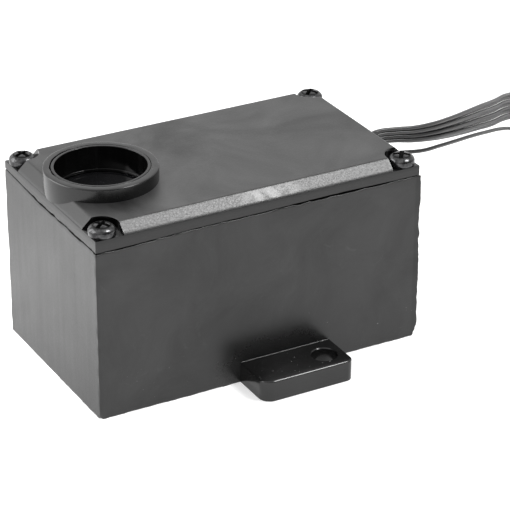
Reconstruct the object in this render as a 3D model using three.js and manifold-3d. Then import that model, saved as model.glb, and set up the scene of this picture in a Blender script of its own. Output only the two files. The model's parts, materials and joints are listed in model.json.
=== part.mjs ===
// Whole-house surge protector in a small moulded box: beveled lid with a round indicator port,
// two mounting feet, nine thin leads, and a thermal disconnector with status flags inside.
// Units are millimetres, +Z up, origin at the bottom centre of the box, leads towards +X.

import * as THREE from 'three';
import { ConvexGeometry } from 'three/addons/geometries/ConvexGeometry.js';
import { mergeVertices } from 'three/addons/utils/BufferGeometryUtils.js';
import Module from 'manifold-3d';

const wasm = await Module();
wasm.setup();

// ---------------------------------------------------------------- driving dimensions

const gap = 0.3; // clearance kept between any two separate pieces
const past = 1; // how far a cutting tool runs past the face it cuts

// Box body
const boxLength = 100;
const boxDepth = 58.4;
const boxHeight = 50.6;
const wall = 3;
const floorThickness = 3;
const cornerColumn = 10; // solid corner column that takes a lid screw, from the outside

// Lid
const lidRim = 2.8; // height of the upright rim under the bevel
const bevelRise = 2.9;
const bevelWidth = 3.1;
const lidPlate = 2.8; // thickness of the plate inside the rim
const pocketSide = 8.6; // square screw pocket at each corner
const pocketRadius = 5;

// Gasket in a step round the inside of the body's mouth
const gasketStep = 1.5;
const gasketStepDepth = 1.2;

// Lid screws
const screwInset = 3.8; // screw axis from both outer faces
const screwHeadRadius = 3.75;
const screwHeadHeight = 2.7;
const screwShankRadius = 1.5;
const screwLength = 14;
const screwPoint = 2; // length of the tapered tip
const screwTurn = 0.4; // how far a seated screw's cross is turned, either way
const crossWidth = 1.1;
const crossSpan = 4;
const crossDepth = 1.5;

// Indicator port
const portWall = 1.95; // wall of the moulded hub round the liner
const portInset = 0.05; // hub from the end of the lid
const portRise = 4; // above the flat top of the lid
const portBore = 12.75;
const linerWall = 0.85;
const linerLedge = 0.45; // how far the glazing ledge stands into the bore
const linerLedgeHeight = 0.5;
const glassThickness = 1;
const maskThickness = 0.45;

// Status flags, seen through windows in the mask
const flagTravel = 7.6;
const flagSpacing = 14; // between the two flags, across the box
const flagWidth = 8;
const flagThickness = 0.8;
const maskOpening = 7; // along the flag's travel
const maskOpeningWidth = 7;

// Disconnector
const pivotHeight = 20;
const shaftRadius = 1.5;
const armThickness = 1.2;
const armWidth = 7;
const armHub = 3.2;
const carrierThickness = 1; // shelf at the arm's top that carries the flags
const flagSwing = 3.15; // room over the flags, under the mask
const padThickness = 0.7; // contact pad that is soldered to the varistor's terminal
const padHalf = [2.5, 1.6]; // half width and half height of the pad
const cheek = 2;
const springRoom = 4.5; // space beside an arm for its spring
const stopRise = 9; // cheeks and stop bar above the shaft
const stopBar = [2, 3]; // thickness and height of the bar the open arms rest on
const frameBack = 3.5; // frame from the shaft towards the varistors
const frameFront = 12; // frame from the shaft towards the leads
const frameBase = 2.4;
const springRadius = 2.6;
const springWire = 0.3;
const springTurns = 3;
const springSteps = 10; // route points per turn
const springLength = 3.4;
const springFootLift = 3; // lower leg's end above the frame's underside
const springLeg = 5; // upper leg

// Varistors that the arms are soldered to
const blockThickness = 7;
const blockHeight = 26;
const blockCorner = 1.5;
const blockMiddle = 1.9; // from the box's middle to each block
const blockSide = 0.8; // from each block to the corner column beside it
const blockFront = 3.7; // from each block to the arm's blade
const contactDrop = 4; // contact's centre below the block's top
const terminalHalf = [3, 2]; // half width and half height of the terminal

// Mounting feet
const footWidth = 28.6;
const footReach = 13.8;
const footThickness = 6.3;
const footCorner = 2.5;
const footShift = 7.4; // foot's middle from the box's middle, along the box
const footHoleRadius = 3.65;
const footHoleShift = 8.4; // hole from the foot's middle
const footHoleReach = 7.1; // hole from the box's face

// Circuit board
const boardStandoff = 5;
const boardThickness = 1.6;
const boardEdge = 0.8;
const boardScrewInset = 4.7; // from the cavity's long walls
const boardScrewFront = 15; // from the disconnector's shaft, towards the leads
const boardScrewEnd = 15; // from the box's lead end
const boardScrewRadius = 1.25;
const boardScrewHead = 2.6;
const boardScrewHeadHeight = 1.8;
const boardScrewLength = 5;
const boardScrewPoint = 1;
const standoffRadius = 3.4;

// Parts on the board
const capacitorSize = [24, 9, 16];
const capacitorCorner = 1;
const capacitorFront = 31; // capacitor's middle from the shaft, towards the leads
const capacitorInset = 9.2; // capacitor's middle from the cavity's long wall
const fuseHalf = 10.5;
const fuseCap = [2.6, 4.5]; // radius and length of a fuse's end cap
const fuseBody = 2.2;
const fuseAcross = 4; // fuse from the box's middle
const discRadius = 8;
const discHalf = 2.3;
const discChamfer = 0.8;
const discFront = 46.2; // neutral varistor from the shaft
const tubeRadius = 4;
const tubeWaist = 3.6;
const tubeHalf = 3.4;
const tubeBand = 1; // length of each end electrode
const tubeInset = 11.2; // gas tube from the cavity's long wall
const relaySize = [15, 10, 11];
const relayInset = 11.2;
const resistorHalf = 3.2;
const resistorBulge = [1.1, 1.25, 1]; // radius at the end, the shoulder and the waist
const resistorShoulder = [2.2, 1.6]; // where the shoulder starts and ends, from the middle
const resistorPitch = 4;
const resistorFirst = -3; // first resistor across the box
const resistorLift = 1.5;
const stripEnd = 14; // terminal strip from the box's lead end
const relayBack = 13; // relay, gas tube and resistors from the strip
const tubeBack = 14.5;
const resistorBack = 11;
const stripHalf = 3;
const stripHeight = 6;
const stripPitch = 2.6;
const stripPost = [0.5, 2]; // half width of a solder post and its height over the strip

// Leads
const exitAcross = 7;
const exitHeight = 44.5;
const grommetBore = 3.3;
const grommetNeck = 4.2;
const grommetFlange = 5.2;
const grommetFlangeThickness = 1.6;
const grommetNose = 2.4;
const leadCount = 9;
const leadRadius = 0.6;
const bundleRadius = 2.5;
const coilCentre = [176, 42];
const coilOuter = 27.2;
const coilInner = 13.4;
const coilBottom = 0.9;
const coilHeight = 3.9;
const tieWidth = 2.6;
const tieThickness = 0.45;
const tieTurn = -0.6;
const innerTieHalf = 1.3;
const innerTieThickness = 0.8;
const innerTieLift = 3; // above the terminal posts

// ---------------------------------------------------------------- derived places

const halfLength = boxLength / 2;
const halfDepth = boxDepth / 2;
const lidBottom = boxHeight + gap;
const rimTop = lidBottom + lidRim;
const lidTop = rimTop + bevelRise;
const lidCeiling = lidTop - lidPlate;
const portTop = lidTop + portRise;
const hubBore = portBore + linerWall + gap;
const portRadius = hubBore + portWall;
const portX = -halfLength + portRadius + portInset;
const ledgeTop = lidCeiling;
const glassTop = ledgeTop - linerLedgeHeight - gap;
const maskTop = glassTop - glassThickness - gap;
const boardBottom = floorThickness + boardStandoff + gap;
const boardTop = boardBottom + boardThickness;
const seat = boardTop + gap; // underside of what stands on the board
const flagY = flagSpacing / 2;
const flagHeight = maskTop - maskThickness - flagSwing - flagThickness; // underside of the flags
const armX = portX + 0.1;
const flagLift = flagHeight - pivotHeight;
const tripAngle = Math.asin(flagTravel / flagLift);
// The green zone shows at rest; the red zone behind it moves under the mask's window on a trip.
const flagFront = maskOpening / 2;
const flagSplit = flagFront - flagTravel + gap / 2;
const flagBack = flagSplit - flagTravel;
const cheekY = flagY + armWidth / 2 + springRoom + cheek / 2;
const contactZ = seat + blockHeight - contactDrop;
const cavityX = halfLength - wall;
const cavityY = halfDepth - wall;
const blockWidth = halfDepth - cornerColumn - blockSide - blockMiddle;
const stripX = halfLength - stripEnd;
const boardScrewY = cavityY - boardScrewInset;
const boardScrewX = [armX + boardScrewFront, halfLength - boardScrewEnd];
const boardScrewPlaces = boardScrewX.flatMap((x) => [[x, -boardScrewY], [x, boardScrewY]]);

// ---------------------------------------------------------------- solid helpers

function toSolid(geometry) {
  const bare = geometry.clone();
  bare.deleteAttribute('normal');
  bare.deleteAttribute('uv');
  const merged = mergeVertices(bare, 1e-4);
  return new wasm.Manifold(new wasm.Mesh({
    numProp: 3,
    vertProperties: new Float32Array(merged.attributes.position.array),
    triVerts: new Uint32Array(merged.index.array),
  }));
}

function toGeometry(solid) {
  const mesh = solid.getMesh();
  const geometry = new THREE.BufferGeometry();
  geometry.setAttribute('position', new THREE.BufferAttribute(new Float32Array(mesh.vertProperties), 3));
  geometry.setIndex(new THREE.BufferAttribute(new Uint32Array(mesh.triVerts), 1));
  geometry.computeVertexNormals();
  return geometry;
}

// Joins the first solid with the added ones, then takes the removed ones away.
function combine(first, added = [], removed = []) {
  let solid = toSolid(first);
  for (const geometry of added) solid = solid.add(toSolid(geometry));
  for (const geometry of removed) solid = solid.subtract(toSolid(geometry));
  return toGeometry(solid);
}

function block(x0, x1, y0, y1, z0, z1) {
  const box = new THREE.BoxGeometry(x1 - x0, y1 - y0, z1 - z0);
  return box.translate((x0 + x1) / 2, (y0 + y1) / 2, (z0 + z1) / 2);
}

function prism(shape, z0, z1, curveSegments = 8) {
  const options = { depth: z1 - z0, bevelEnabled: false, curveSegments };
  return new THREE.ExtrudeGeometry(shape, options).translate(0, 0, z0);
}

// An upright cylinder from z0 to z1.
function post(x, y, radius, z0, z1, segments = 24) {
  const cylinder = new THREE.CylinderGeometry(radius, radius, z1 - z0, segments);
  return cylinder.rotateX(Math.PI / 2).translate(x, y, (z0 + z1) / 2);
}

// A cylinder lying along the depth of the box, from y0 to y1.
function rod(x, z, radius, y0, y1, segments = 20) {
  const cylinder = new THREE.CylinderGeometry(radius, radius, y1 - y0, segments);
  return cylinder.translate(x, (y0 + y1) / 2, z);
}

// A ring or turned solid about the upright axis, from [radius, height] pairs that close on themselves.
function turned(profile, segments = 48) {
  const points = [...profile, profile[0]].map(([r, z]) => new THREE.Vector2(r, z));
  return new THREE.LatheGeometry(points, segments).rotateX(Math.PI / 2);
}

// A turned solid whose profile starts and ends on the axis.
function turnedSolid(profile, segments = 32) {
  const points = profile.map(([r, z]) => new THREE.Vector2(r, z));
  return new THREE.LatheGeometry(points, segments).rotateX(Math.PI / 2);
}

function roundedRectangle(width, height, radius) {
  const [w, h, r] = [width / 2, height / 2, radius];
  const shape = new THREE.Shape();
  shape.moveTo(-w + r, -h).lineTo(w - r, -h).absarc(w - r, -h + r, r, -Math.PI / 2, 0);
  shape.lineTo(w, h - r).absarc(w - r, h - r, r, 0, Math.PI / 2);
  shape.lineTo(-w + r, h).absarc(-w + r, h - r, r, Math.PI / 2, Math.PI);
  shape.lineTo(-w, -h + r).absarc(-w + r, -h + r, r, Math.PI, Math.PI * 1.5);
  return shape;
}

// The inside outline of the box, which steps round the corner columns; grow moves it outward.
function cavityPoints(grow) {
  const [x, y] = [cavityX + grow, cavityY + grow];
  const [cx, cy] = [halfLength - cornerColumn + grow, halfDepth - cornerColumn + grow];
  return [
    [cx, -y], [cx, -cy], [x, -cy], [x, cy], [cx, cy], [cx, y],
    [-cx, y], [-cx, cy], [-x, cy], [-x, -cy], [-cx, -cy], [-cx, -y],
  ].map(([px, py]) => new THREE.Vector2(px, py));
}

const cavityShape = (grow) => new THREE.Shape(cavityPoints(grow));

// A round tube along a curve, its ends square to the curve.
function tube(points, radius, steps, sides) {
  const curve = new THREE.CatmullRomCurve3(points.map((p) => new THREE.Vector3(...p)), false, 'centripetal');
  const section = new THREE.Shape();
  for (let i = 0; i < sides; i += 1) {
    const angle = (2 * Math.PI * i) / sides;
    const [x, y] = [radius * Math.cos(angle), radius * Math.sin(angle)];
    if (i === 0) section.moveTo(x, y);
    else section.lineTo(x, y);
  }
  section.closePath();
  return new THREE.ExtrudeGeometry(section, { steps, bevelEnabled: false, extrudePath: curve });
}

// ---------------------------------------------------------------- materials

function finish(color, roughness, metalness = 0) {
  return new THREE.MeshStandardMaterial({ color, roughness, metalness });
}

const blackPlastic = () => finish(0x3a3a3b, 0.5);
const glossBlack = () => finish(0x1c1c1d, 0.25);
const blackSteel = () => finish(0x1e1e20, 0.35, 0.4);
const steel = () => finish(0x9c9ea0, 0.35, 1);
const rubber = () => finish(0x161616, 0.75);
const smokedGlass = () => finish(0x0b0b0d, 0.08);
const leadPlastic = () => finish(0x8a8a8a, 0.45);

// ---------------------------------------------------------------- assembly

const group = new THREE.Group();

function place(name, geometry, material, position = [0, 0, 0], rotation = [0, 0, 0]) {
  const mesh = new THREE.Mesh(geometry, material);
  mesh.name = name;
  mesh.position.set(...position);
  mesh.rotation.set(...rotation);
  group.add(mesh);
  return mesh;
}

const corners = [
  { name: 'front_left', x: -1, y: -1, turn: 0 },
  { name: 'front_right', x: 1, y: -1, turn: Math.PI / 2 },
  { name: 'rear_right', x: 1, y: 1, turn: Math.PI },
  { name: 'rear_left', x: -1, y: 1, turn: -Math.PI / 2 },
];
const screwPlace = ({ x, y }) => [x * (halfLength - screwInset), y * (halfDepth - screwInset)];

// Box body: walls and floor in one shell, corner columns, board standoffs, lead hole.
function boxBody() {
  const shell = block(-halfLength, halfLength, -halfDepth, halfDepth, 0, boxHeight);
  const cavity = prism(cavityShape(0), floorThickness, boxHeight + past);
  const step = prism(cavityShape(gasketStep), boxHeight - gasketStepDepth, boxHeight + past);
  const screwHoles = corners.map((corner) => {
    const [x, y] = screwPlace(corner);
    return post(x, y, screwShankRadius + gap, boxHeight - screwLength, boxHeight + past, 16);
  });
  const leadHole = new THREE.CylinderGeometry(grommetNeck + gap, grommetNeck + gap, wall + 2 * past, 32);
  leadHole.rotateZ(Math.PI / 2).translate(halfLength - wall / 2, exitAcross, exitHeight);
  let solid = toSolid(combine(shell, [], [cavity, step, ...screwHoles, leadHole]));
  for (const [x, y] of boardScrewPlaces) {
    const top = boardBottom - gap;
    solid = solid.add(toSolid(post(x, y, standoffRadius, floorThickness / 2, top, 20)));
    const pilot = post(x, y, boardScrewRadius + gap, floorThickness, top + past, 12);
    solid = solid.subtract(toSolid(pilot));
  }
  return toGeometry(solid);
}

// One screw pocket for the lid's corner at the origin, open towards -X and -Y.
function pocketShape() {
  const centre = pocketSide - pocketRadius;
  const shape = new THREE.Shape();
  shape.moveTo(-past, -past).lineTo(pocketSide, -past).lineTo(pocketSide, centre);
  shape.absarc(centre, centre, pocketRadius, 0, Math.PI / 2);
  shape.lineTo(-past, pocketSide);
  return shape;
}

// Lid: upright rim, bevel on all four sides, screw pockets, moulded port hub, hollow underside.
function lid() {
  const [x, y] = [halfLength, halfDepth];
  const bevelPoints = [];
  for (const [sx, sy] of [[-1, -1], [1, -1], [1, 1], [-1, 1]]) {
    bevelPoints.push(new THREE.Vector3(sx * x, sy * y, lidBottom));
    bevelPoints.push(new THREE.Vector3(sx * x, sy * y, rimTop));
    bevelPoints.push(new THREE.Vector3(sx * (x - bevelWidth), sy * (y - bevelWidth), lidTop));
  }
  const plate = new ConvexGeometry(bevelPoints);
  const hub = post(portX, 0, portRadius, rimTop - past, portTop, 64);
  const removed = [prism(cavityShape(0), lidBottom - past, lidCeiling)];
  removed.push(post(portX, 0, hubBore, lidBottom - past, portTop + past, 64));
  for (const corner of corners) {
    const pocket = prism(pocketShape(), rimTop, lidTop + past, 10);
    removed.push(pocket.rotateZ(corner.turn).translate(corner.x * x, corner.y * y, 0));
    const [sx, sy] = screwPlace(corner);
    removed.push(post(sx, sy, screwShankRadius + gap, lidBottom - past, rimTop + past, 16));
  }
  return combine(plate, [hub], removed);
}

// Pan-head lid screw with a cross recess, standing on its pocket's floor.
function lidScrew() {
  const [head, top, shank] = [screwHeadRadius, screwHeadHeight, screwShankRadius];
  const profile = [
    [0, top], [head * 0.45, top * 0.96], [head * 0.8, top * 0.78], [head * 0.96, top * 0.45],
    [head, top * 0.15], [head, 0], [shank, 0], [shank, -screwLength + screwPoint], [0, -screwLength],
  ];
  const body = turnedSolid(profile.reverse(), 32);
  const [w, s, z] = [crossWidth / 2, crossSpan / 2, top - crossDepth];
  return combine(body, [], [block(-s, s, -w, w, z, top + past), block(-w, w, -s, s, z, top + past)]);
}

// Liner sleeve in the port's bore, with a ledge that the glass is bonded under.
function portLiner() {
  const [inner, outer, ledge] = [portBore, portBore + linerWall, portBore - linerLedge];
  const ledgeBottom = ledgeTop - linerLedgeHeight;
  return turned([
    [outer, lidBottom], [outer, portTop], [inner, portTop], [inner, ledgeTop],
    [ledge, ledgeTop], [ledge, ledgeBottom], [inner, ledgeBottom], [inner, lidBottom],
  ], 64);
}

function portGlass() {
  return post(0, 0, portBore - gap, glassTop - glassThickness, glassTop, 48);
}

// Opaque mask under the glass, with one small window over each flag.
function indicatorMask() {
  const disc = post(0, 0, portBore - gap, maskTop - maskThickness, maskTop, 48);
  const windows = [-1, 1].map((side) => {
    const y = side * flagY;
    const [w, d] = [maskOpening / 2, maskOpeningWidth / 2];
    return block(-w, w, y - d, y + d, maskTop - maskThickness - past, maskTop + past);
  });
  return combine(disc, [], windows);
}

function lidGasket() {
  const ring = cavityShape(gasketStep - gap);
  ring.holes.push(new THREE.Path(cavityPoints(0)));
  return prism(ring, boxHeight - gasketStepDepth + gap, boxHeight);
}

// Mounting foot, made for the front wall: its bonded edge lies along y = 0.
function mountingFoot() {
  const shape = new THREE.Shape();
  const [w, reach, r] = [footWidth / 2, footReach, footCorner];
  shape.moveTo(-w, -gap).lineTo(-w, -reach + r).absarc(-w + r, -reach + r, r, Math.PI, Math.PI * 1.5);
  shape.lineTo(w - r, -reach).absarc(w - r, -reach + r, r, Math.PI * 1.5, Math.PI * 2).lineTo(w, -gap);
  const hole = new THREE.Path();
  hole.absarc(footHoleShift, -footHoleReach, footHoleRadius, 0, Math.PI * 2, true);
  shape.holes.push(hole);
  return prism(shape, 0, footThickness, 16);
}

// Lead grommet along +X: inner flange, neck through the wall, outer flange with a tapered nose.
function leadGrommet() {
  const inside = halfLength - wall - gap;
  const outside = halfLength + gap;
  const flangeEnd = outside + grommetFlangeThickness;
  const noseEnd = flangeEnd + grommetNose;
  const profile = [
    [grommetBore, inside - grommetFlangeThickness], [grommetFlange, inside - grommetFlangeThickness],
    [grommetFlange, inside], [grommetNeck, inside], [grommetNeck, outside], [grommetFlange, outside],
    [grommetFlange, flangeEnd], [grommetNeck, noseEnd], [grommetBore, noseEnd],
  ];
  return turned(profile, 32).rotateY(Math.PI / 2);
}

function circuitBoard() {
  const board = prism(cavityShape(-boardEdge), boardBottom, boardTop);
  const hole = ([x, y]) => post(x, y, boardScrewRadius + gap, boardBottom - past, boardTop + past, 12);
  return combine(board, [], boardScrewPlaces.map(hole));
}

function boardScrew() {
  const [r, head, h] = [boardScrewRadius, boardScrewHead, boardScrewHeadHeight];
  const body = turnedSolid([
    [0, -boardScrewLength], [r, -boardScrewLength + boardScrewPoint], [r, 0], [head, 0], [head, h * 0.6],
    [head * 0.7, h], [0, h],
  ], 16);
  const [w, s] = [head * 0.14, head * 0.6];
  return combine(body, [], [block(-s, s, -w, w, h / 2, h + past), block(-w, w, -s, s, h / 2, h + past)]);
}

// Block varistor: coated block with a solder terminal that faces the disconnector arm.
function varistorBlock(side) {
  const x1 = armX - armThickness / 2 - blockFront;
  const y = side * (blockMiddle + blockWidth / 2);
  const body = prism(roundedRectangle(blockThickness, blockWidth, blockCorner), seat, seat + blockHeight, 4);
  body.translate(x1 - blockThickness / 2, y, 0);
  const reach = blockFront - padThickness - gap;
  const [w, h] = terminalHalf;
  const middle = side * flagY;
  const terminal = block(x1 - past, x1 + reach, middle - w, middle + w, contactZ - h, contactZ + h);
  return combine(body, [terminal]);
}

// Frame that carries the arms' shaft: base, three cheeks and the bar the open arms rest on.
function disconnectorFrame() {
  const [x0, x1] = [armX - frameBack, armX + frameFront];
  const half = cheekY + cheek / 2;
  const top = pivotHeight + stopRise;
  const cheeks = [-cheekY, 0, cheekY].map((y) => block(x0, x1, y - cheek / 2, y + cheek / 2, seat, top));
  const openBlade = armX + stopRise * Math.tan(tripAngle) + armThickness / 2 / Math.cos(tripAngle);
  const [barThickness, barHeight] = stopBar;
  const barX = openBlade + gap;
  const bar = block(barX, barX + barThickness, -half, half, top - barHeight, top);
  const base = block(x0, x1, -half, half, seat, seat + frameBase);
  const bore = rod(armX, pivotHeight, shaftRadius + gap, -half - past, half + past);
  return combine(base, [...cheeks, bar], [bore]);
}

// Disconnector arm in its own frame: the shaft runs through the origin along the depth.
function disconnectArm() {
  const [t, w] = [armThickness / 2, armWidth / 2];
  const carrierTop = flagLift - gap;
  const hub = rod(0, 0, armHub, -w, w);
  const blade = block(-t, t, -w, w, armHub * 0.6, carrierTop);
  const padZ = contactZ - pivotHeight;
  const [padY, padRise] = padHalf;
  const pad = block(-t - padThickness, 0, -padY, padY, padZ - padRise, padZ + padRise);
  const carrierY = flagWidth / 2;
  const carrier = block(flagBack, flagFront, -carrierY, carrierY, carrierTop - carrierThickness, carrierTop);
  return combine(hub, [blade, pad, carrier], [rod(0, 0, shaftRadius + gap, -w - past, w + past)]);
}

function flagPlate(x0, x1) {
  return block(x0, x1, -flagWidth / 2, flagWidth / 2, flagLift, flagLift + flagThickness);
}

// Torsion spring round the shaft beside an arm, with a leg down to the base and a leg up the arm.
function torsionSpring() {
  const half = springLength / 2;
  const count = springTurns * springSteps;
  const points = [[springRadius, -half, seat + springFootLift - pivotHeight]];
  for (let i = 0; i <= count; i += 1) {
    const angle = (2 * Math.PI * i) / springSteps;
    const along = -half + (springLength * i) / count;
    points.push([springRadius * Math.cos(angle), along, springRadius * Math.sin(angle)]);
  }
  points.push([springRadius, half, springLeg]);
  return tube(points, springWire, 56, 6);
}

// A moulded case standing on the board: film capacitor or relay.
function mouldedCase([length, depth, height]) {
  return prism(roundedRectangle(length, depth, capacitorCorner), 0, height, 3);
}

// A solid turned about the box's length, from [radius, place] pairs.
function turnedAlong(profile, segments) {
  return turnedSolid(profile, segments).rotateY(Math.PI / 2);
}

function fuseLink() {
  const [cap, capLength] = fuseCap;
  const neck = fuseHalf - capLength;
  return turnedAlong([
    [0, -fuseHalf], [cap, -fuseHalf], [cap, -neck], [fuseBody, -neck],
    [fuseBody, neck], [cap, neck], [cap, fuseHalf], [0, fuseHalf],
  ], 20);
}

function resistor() {
  const [end, shoulder, waist] = resistorBulge;
  const [outer, inner] = resistorShoulder;
  return turnedAlong([
    [0, -resistorHalf], [end, -resistorHalf], [shoulder, -outer], [waist, -inner],
    [waist, inner], [shoulder, outer], [end, resistorHalf], [0, resistorHalf],
  ], 12);
}

function discVaristor() {
  const face = discRadius - discChamfer;
  const side = discHalf - discChamfer;
  return turnedAlong([
    [0, -discHalf], [face, -discHalf], [discRadius, -side],
    [discRadius, side], [face, discHalf], [0, discHalf],
  ], 28);
}

function gasTube() {
  const band = tubeHalf - tubeBand;
  return turnedAlong([
    [0, -tubeHalf], [tubeRadius, -tubeHalf], [tubeRadius, -band], [tubeWaist, -band],
    [tubeWaist, band], [tubeRadius, band], [tubeRadius, tubeHalf], [0, tubeHalf],
  ], 20);
}

// Terminal strip: a block with one solder post per lead.
function terminalStrip() {
  const half = (leadCount * stripPitch) / 2;
  const body = block(stripX - stripHalf, stripX + stripHalf, -half, half, seat, seat + stripHeight);
  const [w, rise] = stripPost;
  const posts = [];
  for (let i = 0; i < leadCount; i += 1) {
    const y = (i - (leadCount - 1) / 2) * stripPitch;
    posts.push(block(stripX - w, stripX + w, y - w, y + w, seat + past, seat + stripHeight + rise));
  }
  return combine(body, posts);
}

// ---------------------------------------------------------------- leads

// The leads inside the box, from the solder posts up and over to the grommet.
const postTop = seat + stripHeight + stripPost[1] + gap;
const innerEnd = halfLength - wall - 2 * gap - grommetFlangeThickness;
const innerRoute = [
  [stripX, exitAcross, postTop], [stripX, exitAcross, postTop + 6], [stripX + 0.8, exitAcross, postTop + 13],
  [stripX + 3, exitAcross, exitHeight - 4], [innerEnd - 3, exitAcross, exitHeight - 0.5],
  [innerEnd, exitAcross, exitHeight],
];

function innerTie() {
  const [inner, outer] = [bundleRadius + gap, bundleRadius + gap + innerTieThickness];
  const h = innerTieHalf;
  return turned([[inner, -h], [outer, -h], [outer, h], [inner, h]], 16);
}

// Middle of the eight-lead bundle: out of the grommet, a slow sag, then down to the surface.
const grommetEnd = halfLength + 2 * gap + grommetFlangeThickness + grommetNose;
const bundleRoute = [
  [grommetEnd, exitAcross, exitHeight], [58, 7, 45.4], [64, 6.5, 45.6], [70, 6, 45], [77, 6.8, 44.1],
  [85, 10, 42.5], [94, 15, 40.3], [104, 21.5, 37.5], [114, 28.5, 34.3], [124, 35.5, 31],
  [133, 41.8, 26.6], [141, 47.4, 21.2], [148.5, 52.6, 15.6], [155, 57, 10.6], [158.4, 59.3, 8.2],
];
// The ninth lead leaves lower, sags under the others and joins them near the surface.
const loneRoute = [
  [grommetEnd, exitAcross, exitHeight - bundleRadius - leadRadius - gap], [60, 6.4, 40.9],
  [67, 5.8, 40.1], [74, 6.6, 38.8], [82, 9.6, 37.4], [91, 14.2, 35.3], [101, 20.2, 32.5], [111, 27, 29],
  [121, 34, 25.2], [131, 41.2, 20.4], [140, 47.4, 14.9], [148, 52.8, 9.8], [153.5, 56.3, 6.8],
];

// The whole winding of the coiled stretch, as one flat ring.
function coilRing() {
  const [z0, z1] = [coilBottom, coilBottom + coilHeight];
  return turned([[coilOuter, z0], [coilOuter, z1], [coilInner, z1], [coilInner, z0]], 40);
}

// Flat tie round the coil's winding, through the middle of the coil.
function coilTie() {
  const w = tieWidth / 2;
  const [r0, r1] = [coilInner - gap, coilOuter + gap];
  const [z0, z1] = [coilBottom - gap, coilBottom + coilHeight + gap];
  const t = tieThickness;
  const outside = block(r0 - t, r1 + t, -w, w, z0 - t, z1 + t);
  return combine(outside, [], [block(r0, r1, -w - past, w + past, z0, z1)]);
}

// ---------------------------------------------------------------- placing everything

place('box_body', boxBody(), blackPlastic());
place('lid', lid(), blackPlastic());
place('lid_gasket', lidGasket(), rubber());
for (const corner of corners) {
  const at = [...screwPlace(corner), rimTop + gap];
  place(`lid_screw_${corner.name}`, lidScrew(), blackSteel(), at, [0, 0, screwTurn * corner.x]);
}
place('port_liner', portLiner(), glossBlack(), [portX, 0, 0]);
place('port_glass', portGlass(), smokedGlass(), [portX, 0, 0]);
place('indicator_mask', indicatorMask(), blackPlastic(), [portX, 0, 0]);

place('front_foot', mountingFoot(), glossBlack(), [footShift, -halfDepth, 0]);
place('rear_foot', mountingFoot(), glossBlack(), [-footShift, halfDepth, 0], [0, 0, Math.PI]);
place('lead_grommet', leadGrommet(), rubber(), [0, exitAcross, exitHeight]);

place('circuit_board', circuitBoard(), finish(0x1d5a34, 0.45));
boardScrewPlaces.forEach(([x, y], i) => {
  place(`board_screw_${i + 1}`, boardScrew(), steel(), [x, y, boardTop + gap]);
});

place('disconnector_frame', disconnectorFrame(), finish(0xd8d4c4, 0.6));
place('disconnector_shaft', rod(armX, pivotHeight, shaftRadius, -cheekY - cheek, cheekY + cheek), steel());
const capacitorX = armX + capacitorFront;
for (const [i, side] of [-1, 1].entries()) {
  const n = i + 1;
  const pivot = [armX, side * flagY, pivotHeight];
  place(`varistor_block_${n}`, varistorBlock(side), finish(0x2a5f9e, 0.4));
  place(`disconnect_arm_${n}`, disconnectArm(), finish(0xb9834a, 0.35, 1), pivot);
  place(`status_flag_green_${n}`, flagPlate(flagSplit, flagFront), finish(0x2f9c4a, 0.5), pivot);
  place(`status_flag_red_${n}`, flagPlate(flagBack, flagSplit - gap), finish(0xb8302a, 0.5), pivot);
  const springY = side * (flagY + armWidth / 2 + springRoom / 2);
  place(`disconnect_spring_${n}`, torsionSpring(), steel(), [armX, springY, pivotHeight]);
  const capacitorPlace = [capacitorX, side * (cavityY - capacitorInset), seat];
  place(`film_capacitor_${n}`, mouldedCase(capacitorSize), finish(0xc9a83a, 0.5), capacitorPlace);
  const fusePlace = [capacitorX, side * fuseAcross, seat + gap + fuseCap[0]];
  place(`fuse_link_${n}`, fuseLink(), finish(0xd9d9d2, 0.4), fusePlace);
}

const discPlace = [armX + discFront, 0, seat + gap + discRadius];
place('neutral_varistor', discVaristor(), finish(0x2a5f9e, 0.4), discPlace);
const tubePlace = [stripX - tubeBack, cavityY - tubeInset, seat + gap + tubeRadius];
place('gas_tube', gasTube(), finish(0xb9b7ae, 0.35, 0.6), tubePlace);
const relayPlace = [stripX - relayBack, relayInset - cavityY, seat];
place('alarm_relay', mouldedCase(relaySize), finish(0x24262a, 0.45), relayPlace);
for (let i = 0; i < 3; i += 1) {
  const resistorPlace = [stripX - resistorBack, resistorFirst + resistorPitch * i, seat + resistorLift];
  place(`resistor_${i + 1}`, resistor(), finish(0x7ea3b8, 0.5), resistorPlace);
}
place('terminal_strip', terminalStrip(), finish(0x2b2b2c, 0.5));
place('inner_leads', tube(innerRoute, bundleRadius, 16, 8), leadPlastic());
place('inner_lead_tie', innerTie(), finish(0xdadada, 0.5), [stripX, exitAcross, postTop + innerTieLift]);

place('lead_bundle', tube(bundleRoute, bundleRadius, 44, 8), leadPlastic());
place('lone_lead', tube(loneRoute, leadRadius, 36, 8), leadPlastic());
place('lead_coil', coilRing(), leadPlastic(), [...coilCentre, 0]);
place('coil_tie', coilTie(), finish(0x1c1c1c, 0.5), [...coilCentre, 0], [0, 0, tieTurn]);

export default group;
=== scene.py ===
"""Looks of a small boxed whole-house surge protector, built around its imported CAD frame.

Everything is in metres in the CAD frame: +X along the box towards the leads, -Y to the front,
+Z up, origin at the middle of the box's underside. MM turns millimetres into metres.
"""
import json
import math

import bmesh
import bpy
from mathutils import Matrix, Vector, noise


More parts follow.
